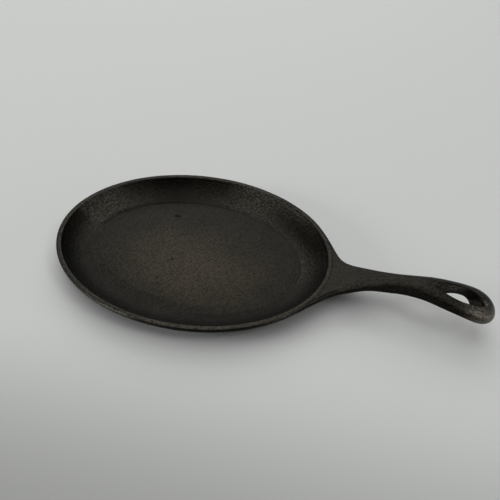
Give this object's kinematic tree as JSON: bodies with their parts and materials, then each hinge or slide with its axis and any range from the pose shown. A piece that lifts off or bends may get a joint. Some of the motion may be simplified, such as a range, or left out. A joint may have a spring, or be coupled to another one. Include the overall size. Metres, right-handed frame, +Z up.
{
  "type": "fajita skillet",
  "caption": "Shallow oval cast-iron skillet for serving sizzling fajitas, with a flat-topped rim and an arched handle that ends in a pointed hanging eye.",
  "frame": {"origin": "middle of the flat base of the dish, on the table", "axes": "+X along the handle, away from the dish; +Y across the dish; +Z up"},
  "size_m": [0.3819, 0.1928, 0.0382],
  "materials": {
    "cast_iron": "seasoned, satin over a fine sand-cast grain"
  },
  "bodies": {
    "root": {"dish_floor": "cast_iron", "dish_wall": "cast_iron", "dish_rim": "cast_iron", "handle_root": "cast_iron", "handle_shank": "cast_iron", "handle_eye": "cast_iron"}
  },
  "joints": []
}
